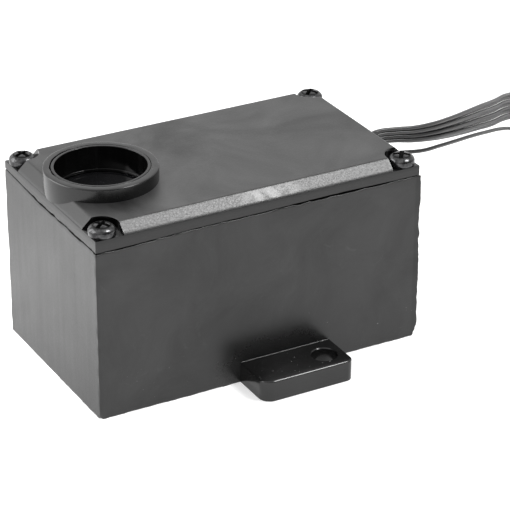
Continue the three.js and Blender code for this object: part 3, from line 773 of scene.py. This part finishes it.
def lead_tip(name, end, before):
    """The stripped and twisted end of a lead: strands of a thin conductor."""
    along = (end - before).normalized()
    length, core, strands, rows, sides = 5.0, 0.34, 5, 14, 6
    points, faces = [], []
    for k in range(rows + 1):
        t = k / rows
        taper = core * (1 - 0.25 * t ** 3)
        for s in range(strands * sides):
            angle = 2 * math.pi * s / (strands * sides)
            ridge = 0.86 + 0.14 * abs(math.cos(strands * angle / 2))
            turn = angle + 2.2 * t
            points.append((taper * ridge * math.cos(turn), taper * ridge * math.sin(turn), t * length))
    ring = strands * sides
    for k in range(rows):
        for s in range(ring):
            m = (s + 1) % ring
            faces.append((k * ring + s, k * ring + m, (k + 1) * ring + m, (k + 1) * ring + s))
    faces.append(tuple(reversed(range(ring))))
    faces.append(tuple(range(rows * ring, (rows + 1) * ring)))
    mesh = mesh_from(points, faces, name)
    turn = along.to_track_quat("Z", "Y").to_matrix().to_4x4()
    mesh.transform(Matrix.Translation(end - along * 0.3) @ turn)
    return add_piece(name, mesh, "lead_insulation", material=TINNED_COPPER)


def make_lead(number, points, tone):
    name = f"lead_{number}"
    data = bpy.data.curves.new(name, "CURVE")
    data.dimensions = "3D"
    data.bevel_depth = LEAD_DIAMETER / 2 * MM
    data.bevel_resolution = 4
    data.resolution_u = 8
    data.use_fill_caps = True
    spline = data.splines.new("BEZIER")
    spline.bezier_points.add(len(points) - 1)
    for knot, point in zip(spline.bezier_points, points):
        knot.co = Vector(point) * MM
        knot.handle_left_type = knot.handle_right_type = "AUTO"
    data.materials.append(finish_lead(tone))
    lead = new_object(name, data)
    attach(lead, BODY)
    tip = lead_tip(f"lead_tip_{number}", points[-1], points[-2])
    return lead, tip


def coil_tie():
    """A thin nylon tie round the winding."""
    width, thick = 2.4, 0.42
    angle = -0.6
    inner, outer = 13.1, 27.5
    low, high = COIL_LOW.z - 0.3, COIL_HIGH.z + 0.3
    corner = 1.1
    centre = ((inner + outer) / 2, (low + high) / 2)
    half = ((outer - inner) / 2, (high - low) / 2)
    rings = []
    for grow in (0, thick):
        outline = []
        for sx, sy, start in ((1, 1, 0), (-1, 1, 90), (-1, -1, 180), (1, -1, 270)):
            cx, cy = centre[0] + sx * (half[0] - corner), centre[1] + sy * (half[1] - corner)
            outline += arc(cx, cy, corner + grow, start, start + 90, 8)
        rings.append(outline)
    points, faces = [], []
    w = width / 2
    for x, z in rings[0] + rings[1]:
        points += [(x, -w, z), (x, w, z)]
    count = len(rings[0])
    for i in range(count):
        j = (i + 1) % count
        a, b, c, d = 2 * i, 2 * j, 2 * (count + i), 2 * (count + j)
        faces += [(a, b, b + 1, a + 1), (c, c + 1, d + 1, d), (a, c, d, b), (a + 1, b + 1, d + 1, c + 1)]
    band = mesh_from(points, faces, "band")
    band.transform(Matrix.Translation((*COIL_CENTRE, 0)) @ Matrix.Rotation(angle, 4, "Z"))
    return add_piece("coil_tie_band", band, "tie_plastic", ["coil_tie"], smooth=40)


def make_leads():
    tie = coil_tie()
    routes = [fanned(BUNDLE_ROUTE, i) + coil_points(*cell) for i, cell in enumerate(COIL_CELLS)]
    routes.append(LONE_ROUTE + coil_points(2, 0))
    for i, route in enumerate(routes):
        points = trimmed(route, LEAD_LENGTH / MM)
        lead, tip = make_lead(i + 1, points, LEAD_TONES[i])
        pieces = [tip]
        if i == 0:
            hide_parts("lead_bundle", "lead_coil")
            pieces += [tie, frame["nodes"]["lead_grommet"]]
        if i == len(routes) - 1:
            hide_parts("lone_lead")


# ---------------------------------------------------------------- box body

def box_ring(inset):
    """The box's outline moved inward, as evenly spaced points anticlockwise from the front left."""
    radius, spacing, steps = 0.3, 0.6, 4
    half_x, half_y = HALF_X - inset, HALF_Y - inset
    out = []
    sides = [(-1, -1, 180), (1, -1, 270), (1, 1, 0), (-1, 1, 90)]
    for k, (sx, sy, start) in enumerate(sides):
        cx, cy = sx * (half_x - radius), sy * (half_y - radius)
        out += arc(cx, cy, radius, start, start + 90, steps)
        nx, ny, _ = sides[(k + 1) % 4]
        count = round(2 * (HALF_X if k % 2 == 0 else HALF_Y) / spacing)
        end = (nx * (half_x - radius), ny * (half_y - radius))
        a = Vector(out[-1])
        b = Vector((end[0], sy * half_y)) if k % 2 == 0 else Vector((sx * half_x, end[1]))
        out += [tuple(a.lerp(b, i / count)) for i in range(1, count)]
    return out


def edge_levels(low, high, soft, spacing):
    """(height, inset) of the rings up a block whose lower and upper edges are rounded."""
    steps = 5
    turn = [math.pi / 2 * i / steps for i in range(steps + 1)]
    foot = [(low + soft * (1 - math.sin(a)), soft * (1 - math.cos(a))) for a in reversed(turn)]
    count = round((high - low - 2 * soft) / spacing)
    wall = [(low + soft + (high - low - 2 * soft) * i / count, 0) for i in range(1, count)]
    head = [(high - soft * (1 - math.sin(a)), soft * (1 - math.cos(a))) for a in turn]
    return foot + wall + head


def seam_height(x, y):
    """Height of the box's sawn mouth: level on the right, dipping at the left and rising behind."""
    left = smooth_step((-x - 12) / 38)
    behind = smooth_step((y - 2) / 30)
    return BOX_TOP - 0.1 * (1 - left) + left * (1.25 * behind - 0.72)


def raised(z, x, y, low):
    """A height near the mouth moved with the seam: full at the mouth, nothing at the low height."""
    share = smooth_step((z - low) / (BOX_TOP - low))
    return z + share * (seam_height(x, y) - BOX_TOP)


def box_body():
    """The box: soft worn edges with small burrs, a broken corner by the front right of its foot."""
    soft, rim, ledge = 0.3, 1.6, 2.6
    level_spacing, wave_reach = 0.8, 12
    rings = [[(x, y, 0) for x, y in box_ring(rim)]]
    for z, inset in edge_levels(0, BOX_TOP, soft, level_spacing):
        ring = []
        for x, y in box_ring(inset):
            height = raised(z, x, y, BOX_TOP - wave_reach)
            ring.append(worn_point(x, y, height, inset / soft, z))
        rings.append(ring)
    rings.append([(x, y, seam_height(x, y)) for x, y in box_ring(rim)])
    rings.append([(x, y, BOX_TOP) for x, y in box_ring(ledge)])
    shell = loft(rings, "box_shell")
    shell = cut(shell, prism(cavity_outline(), WALL, BOX_TOP + 4))

    grommet_low, grommet_high = span("lead_grommet")
    across = (grommet_low.y + grommet_high.y) / 2
    height = (grommet_low.z + grommet_high.z) / 2
    radius, half = 4.5, 6
    hole = lathe([(0, -half), (radius, -half), (radius, half), (0, half)], 40)
    sideways = Matrix.Rotation(math.pi / 2, 4, "Y")
    hole.transform(Matrix.Translation((HALF_X, across, height)) @ sideways)
    shell = cut(shell, hole)
    add_piece("box_shell", shell, "case_plastic", ["box_body"], smooth=35)


CHIPS = [
    # corner (x side, y side, height share), direction out of the box, depth of the chip
    ((1, -1, 0), (1, -0.3, -0.35), 0.75),
    ((1, -1, 0), (0.6, -0.3, -1), 0.5),
    ((-1, -1, 0), (-1, -1, -0.8), 0.80),
]


def worn_point(x, y, z, at_edge, level):
    """A point of the box's skin, uneven along the edges and pressed in at broken corners."""
    edge_width = 0.8
    from_x, from_y = HALF_X - abs(x), HALF_Y - abs(y)
    at_corner = max(0, 1 - from_x / edge_width) * max(0, 1 - from_y / edge_width)
    eaten = max(at_edge, at_corner)
    rough = 0.4 if x < 0 and y > 0 else 1.0           # the rear left edge is the least worn
    flash = 0.5 * at_corner if x > 0 else 0.0         # moulding flash on the right edges
    depth = eaten * rough * (0.30 * wobble(x, y, z, 3.4, 4.0) + 0.2 * wobble(x, y, z, 1.3, 9.0))
    depth = min(0.45, max(-0.3, depth)) - flash
    inward = Vector((-x / HALF_X, -y / HALF_Y, 0))
    if at_edge > 0:
        inward.z = 1 if level < BOX_TOP / 2 else -1
    worn = Vector(chipped(Vector((x, y, z)) + inward * depth))
    return (max(-HALF_X, worn.x), worn.y, max(0, worn.z))


def chipped(point):
    """The point pressed in where a corner of the box is broken off."""
    p = Vector(point)
    for (sx, sy, up), direction, depth in CHIPS:
        corner = Vector((sx * HALF_X, sy * HALF_Y, up * BOX_TOP))
        out = Vector(direction).normalized()
        past = (p - corner).dot(out) + depth + 0.25 * wobble(*p, 0.9, 3.0)
        if past > 0:
            p = p - out * past
    return tuple(p)


def cavity_outline():
    """The box's inside outline, stepping round the four corner columns."""
    x, y = HALF_X - WALL, HALF_Y - WALL
    cx, cy = HALF_X - CORNER_COLUMN, HALF_Y - CORNER_COLUMN
    return [(cx, -y), (cx, -cy), (x, -cy), (x, cy), (cx, cy), (cx, y),
            (-cx, y), (-cx, cy), (-x, cy), (-x, -cy), (-cx, -cy), (-cx, -y)]


# ---------------------------------------------------------------- lid

def lid_outline(inset, pocket_grow, notch):
    """One level of the lid. notch 1 steps round the screw pockets, and 0 keeps square corners."""
    arc_steps, corner_steps = 10, 6
    long_count, short_count = 82, 41
    hx, hy = HALF_X - LID_INSET - inset, HALF_Y - LID_INSET - inset
    reach = POCKET_RADIUS + pocket_grow
    past = max(0, inset + LID_INSET - (POCKET - POCKET_RADIUS))
    skip = math.asin(past / reach)
    edge = POCKET - POCKET_RADIUS + reach * math.cos(skip)
    ex, ey = HALF_X - edge, HALF_Y - edge
    out = []
    corners = [(-1, -1), (1, -1), (1, 1), (-1, 1)]
    for k, (sx, sy) in enumerate(corners):
        along_x = k % 2 == 1
        a = (sx * ex, sy * hy) if along_x else (sx * hx, sy * ey)
        b = (sx * hx, sy * ey) if along_x else (sx * ex, sy * hy)
        if notch:
            cx, cy = sx * (HALF_X - POCKET + POCKET_RADIUS), sy * (HALF_Y - POCKET + POCKET_RADIUS)
            start = 90 + 90 * k - math.degrees(skip)
            turn = 90 - 2 * math.degrees(skip)
            path = [a] + arc(cx, cy, reach, start, start - turn, arc_steps) + [b]
        else:
            corner = Vector((sx * hx, sy * hy))
            first = [Vector(a).lerp(corner, i / corner_steps) for i in range(corner_steps)]
            last = [corner.lerp(Vector(b), i / corner_steps) for i in range(corner_steps + 1)]
            path = [tuple(p) for p in first + last]
        out += path
        nx, ny = corners[(k + 1) % 4]
        end = Vector((nx * ex, ny * hy) if k % 2 == 0 else (nx * hx, ny * ey))
        count = long_count if k % 2 == 0 else short_count
        out += [tuple(Vector(path[-1]).lerp(end, i / count)) for i in range(1, count)]
    return out


LIFT_REACH = 1.6         # height over which the sawn underside's unevenness fades out
LID_THICKNESS = 2.8


def lid_shell():
    """The lid's plate: wavy rim along the seam, bevel on all sides and a pocket at each corner."""
    base = BOX_TOP + SEAM
    soft = 0.16
    levels = [                                   # (height, inset, pocket growth, notch)
        (base, soft, 0, 0), (base + 0.06, 0.08, 0, 0), (base + soft, 0, 0, 0),
        (base + 0.8, 0, 0, 0), (base + LIFT_REACH, 0, 0, 0), (RIM_TOP - 0.12, 0, 0, 0),
        (RIM_TOP - 0.03, 0.03, 0, 0), (RIM_TOP, 0.12, 0, 0), (RIM_TOP, 0.14, 0, 1),
    ]
    slope = BEVEL_WIDTH / BEVEL_RISE
    bevel_steps = 8
    for i in range(1, bevel_steps):
        rise = BEVEL_RISE * i / bevel_steps
        levels.append((RIM_TOP + rise, rise * slope, 0, 1))
    for back, extra, grow in ((0.10, 0.0, 0.0), (0.03, 0.07, 0.05), (0.0, 0.22, 0.18)):
        levels.append((LID_TOP - back, (BEVEL_RISE - back) * slope + extra, grow, 1))
    levels.append((LID_TOP, BEVEL_WIDTH + 0.6, 0.5, 1))
    rings = []
    for z, inset, grow, notch in levels:
        ring = []
        for x, y in lid_outline(inset, grow, notch):
            ring.append((x, y, z + lid_unevenness(x, y, z, base)))
        rings.append(ring)
    rings.append([(x, y, LID_TOP) for x, y in lid_outline(BEVEL_WIDTH + 3, 2, 1)])
    plate = loft(rings, "lid_plate")
    bore = lathe([(0, 40), (LINER_OUTER + 0.2, 40), (LINER_OUTER + 0.2, 70), (0, 70)], 96)
    plate = cut(plate, placed(bore, (PORT_X, 0, 0)))
    plate = cut(plate, prism(cavity_outline(), 40, LID_TOP - LID_THICKNESS))
    add_piece("lid_plate", plate, "case_plastic", ["lid"], material=finish_lid(), smooth=28)


def lid_unevenness(x, y, z, base):
    """How far a point of the lid's skin is lifted: the sawn underside follows the box's mouth."""
    share = smooth_step((RIM_TOP - z) / (RIM_TOP - base))
    rough = 0.12 * wobble(x, y, 0, 2.6, 1.5) + 0.14 * wobble(x, y, 0, 1.2, 5.0)
    open_part = smooth_step(1 - abs(x - 22) / 28) * (y < 0)
    left = smooth_step((-x - 46) / 4) * smooth_step((18 - y) / 10)
    lift = max(-SEAM * 0.8, rough * (0.4 + 2.8 * left) + 0.3 * open_part + 0.24 * left)
    fading = smooth_step((base + LIFT_REACH - z) / LIFT_REACH)
    return share * (seam_height(x, y) - BOX_TOP) + fading * lift


def port_hub():
    """The round hub moulded on the lid, softly rounded, with a gap to the liner at the rear left."""
    inner, outer = LINER_OUTER + 0.12, HUB_RADIUS
    base = RIM_TOP - 0.1
    profile = [(inner, base), (outer, base), (outer, PORT_TOP), (inner, PORT_TOP)]
    mesh = lathe(rounded(profile, {2: 0.5, 3: 0.18}), 128, closed=True)
    for vertex in mesh.vertices:
        x, y, z = vertex.co
        if z > PORT_TOP - 1:
            vertex.co.z -= 0.05 + 0.05 * wobble(x, y, 0, 3.0, 2.0)
        by_liner = Vector((x, y)).length < inner + 0.6
        cracked = smooth_step((y - x - 8) / 8) if by_liner else 0
        outward = Vector((x, y, 0)).normalized() * cracked
        vertex.co += outward * max(0, 0.22 + 0.2 * wobble(x, y, 0, 2.2, 7.0))
    add_piece("port_hub", placed(mesh, (PORT_X, 0, 0)), "case_plastic", material=finish_hub(), smooth=30)


def port_liner():
    """The glossy sleeve in the hub, standing a touch low, with the ledge that the glass sits under."""
    ledge = span("port_glass")[1].z + 0.3
    ledge_top = ledge + 0.5
    outer, inner = LINER_OUTER, LINER_OUTER - 0.85
    lip = inner - 0.45
    low, high = LINER_LOW.z, LINER_HIGH.z - 0.08
    profile = [
        (outer, low), (outer, high), (inner, high), (inner, ledge_top),
        (lip, ledge_top), (lip, ledge), (inner, ledge), (inner, low),
    ]
    radii = {1: 0.2, 2: 0.2, 4: 0.12, 5: 0.05}
    mesh = lathe(rounded(profile, radii), 128, closed=True)
    add_piece("port_sleeve", placed(mesh, (PORT_X, 0, 0)), "gloss_plastic", ["port_liner"],
              material=finish_sleeve(), smooth=30)


def port_glass():
    """The smoked lens, slightly domed, under the ledge."""
    low, high = span("port_glass")
    radius = (high.x - low.x) / 2
    dome, steps = 0.25, 10
    profile = [(0, low.z), (radius, low.z), (radius, high.z - dome)]
    profile += [(radius * math.cos(a), high.z - dome + dome * math.sin(a)) for a in
                (math.pi / 2 * i / steps for i in range(1, steps + 1))]
    mesh = lathe(profile, 96)
    add_piece("port_lens", placed(mesh, (PORT_X, 0, 0)), "smoked_glass", ["port_glass"], smooth=40)


# ---------------------------------------------------------------- screws, feet, grommet

def screw_recess(top):
    """A cross recess that narrows as it goes down."""
    tools = []
    for turn in (0, math.pi / 2):
        rings = []
        for depth, half_long, half_wide in ((2.0, 0.8, 0.3), (1.0, 1.9, 0.48), (-0.6, 3.0, 0.72)):
            z = top - depth
            s, w = half_long, half_wide
            rings.append([(-s, -w, z), (s, -w, z), (s, w, z), (-s, w, z)])
        tools.append(placed(loft(rings), turn=turn))
    return tools


def lid_screws():
    """Four cross-head pan screws, each turned its own way, sitting on their pockets' floors."""
    turns = {"front_left": 0.62, "front_right": 0.95, "rear_right": 0.7, "rear_left": 0.35}
    for place, turn in turns.items():
        node = f"lid_screw_{place}"
        low, high = span(node)
        centre = (low + high) / 2
        radius, height = (high.x - low.x) / 2, 3.1
        brim, steps, shank = 1.2, 14, 1.5
        seat = RIM_TOP
        dome = [(radius * math.sin(a), seat + brim + (height - brim) * math.cos(a)) for a in
                (math.pi / 2 * i / steps for i in range(steps + 1))]
        flat = seat + height - 0.12
        dome = [(r, min(z, flat)) for r, z in dome]
        side = rounded([dome[-1], (radius, seat), (radius - 1.2, seat)], {1: 0.25}, closed=False)
        profile = dome + side[1:] + [(shank, seat), (shank, seat - 12), (0, seat - 14)]
        mesh = lathe(profile, 64)
        for tool in screw_recess(flat):
            mesh = cut(mesh, tool)
        placed(mesh, (centre.x, centre.y, 0), turn)
        add_piece(f"screw_{place}", mesh, "black_screw", [node],
                  material=finish_screw((centre.x, centre.y, flat)), smooth=32)


FOOT_CORNERS = (3.4, 2.4)            # radii of a foot's left and right outer corners
FOOT_HOLE = 3.65                     # radius
FOOT_HOLE_PLACE = (8.4, -7.1)        # from the middle of the foot's bonded edge


def foot_outline(width, reach, inset):
    """A foot's outline round its two outer corners; its inner edge runs into the wall."""
    w = width / 2 - inset
    end = -reach + inset
    out = [(w, 0.05), (-w, 0.05)]
    left, right = (radius - inset * 0.5 for radius in FOOT_CORNERS)
    out += arc(-w + left, end + left, left, 180, 270, 10)
    out += arc(w - right, end + right, right, 270, 360, 10)
    return out


def mounting_foot(name, node, turn):
    """A glossy foot with a narrow chamfer, a countersunk edge to its hole and a bead of cement."""
    low, high = span(node)
    width, thick = high.x - low.x, high.z
    reach = max(abs(low.y), abs(high.y)) - HALF_Y
    middle = (low.x + high.x) / 2
    chamfer = 0.3
    levels = [(0, 0.15), (0.15, 0), (thick - chamfer - 0.05, 0), (thick - chamfer, 0.02)]
    levels += [(thick - 0.03, chamfer - 0.03), (thick, chamfer + 0.05)]
    rings = [[(x, y, z) for x, y in foot_outline(width, reach, inset)] for z, inset in levels]
    mesh = loft(rings)
    top, countersunk = thick + 2, FOOT_HOLE + 0.3
    bore = [(0, -2), (FOOT_HOLE, -2), (FOOT_HOLE, thick - 0.25), (countersunk, thick + 0.05)]
    hole = lathe(bore + [(countersunk, top), (0, top)], 64)
    mesh = cut(mesh, placed(hole, (*FOOT_HOLE_PLACE, 0)))
    side = -1 if turn == 0 else 1
    at_wall = Matrix.Translation((middle, side * HALF_Y, 0)) @ Matrix.Rotation(turn, 4, "Z")
    mesh.transform(at_wall)
    add_piece(name, mesh, "gloss_plastic", [node], smooth=30)
    bead = weld_bead(width, thick)
    bead.transform(at_wall)
    add_piece(name + "_bead", bead, "gloss_plastic", smooth=60)


def weld_bead(width, thick):
    """A thin uneven bead of cement along the foot's top edge, against the wall."""
    points, faces = [], []
    count, sides = 60, 6
    for i in range(count + 1):
        x = -width / 2 + 0.4 + (width - 0.8) * i / count
        size = 0.13 + 0.1 * wobble(x, 0, 0, 1.3, 6.0)
        for s in range(sides + 1):
            angle = math.pi / 2 * s / sides
            out, up = size * (1 - math.sin(angle)), size * (1 - math.cos(angle))
            points.append((x, -out, thick + up))
        points.append((x, 0.0, thick))
    row = sides + 2
    for i in range(count):
        for s in range(row):
            m = (s + 1) % row
            faces.append((i * row + s, i * row + m, (i + 1) * row + m, (i + 1) * row + s))
    faces.append(tuple(range(row)))
    faces.append(tuple(reversed(range(count * row, (count + 1) * row))))
    return mesh_from(points, faces, "bead")


# ---------------------------------------------------------------- CAD pieces that stay

def dress_frame_nodes():
    """Gives every CAD node that still shows the finish of its slot."""
    for name, node in frame["nodes"].items():
        node.data.materials.clear()
        node.data.materials.append(MATERIALS[SLOT_OF[name]])


make_camera()
make_leads()
make_stage()
box_body()
lid_shell()
port_hub()
port_liner()
port_glass()
lid_screws()
mounting_foot("foot_front", "front_foot", 0)
mounting_foot("foot_rear", "rear_foot", math.pi)
dress_frame_nodes()
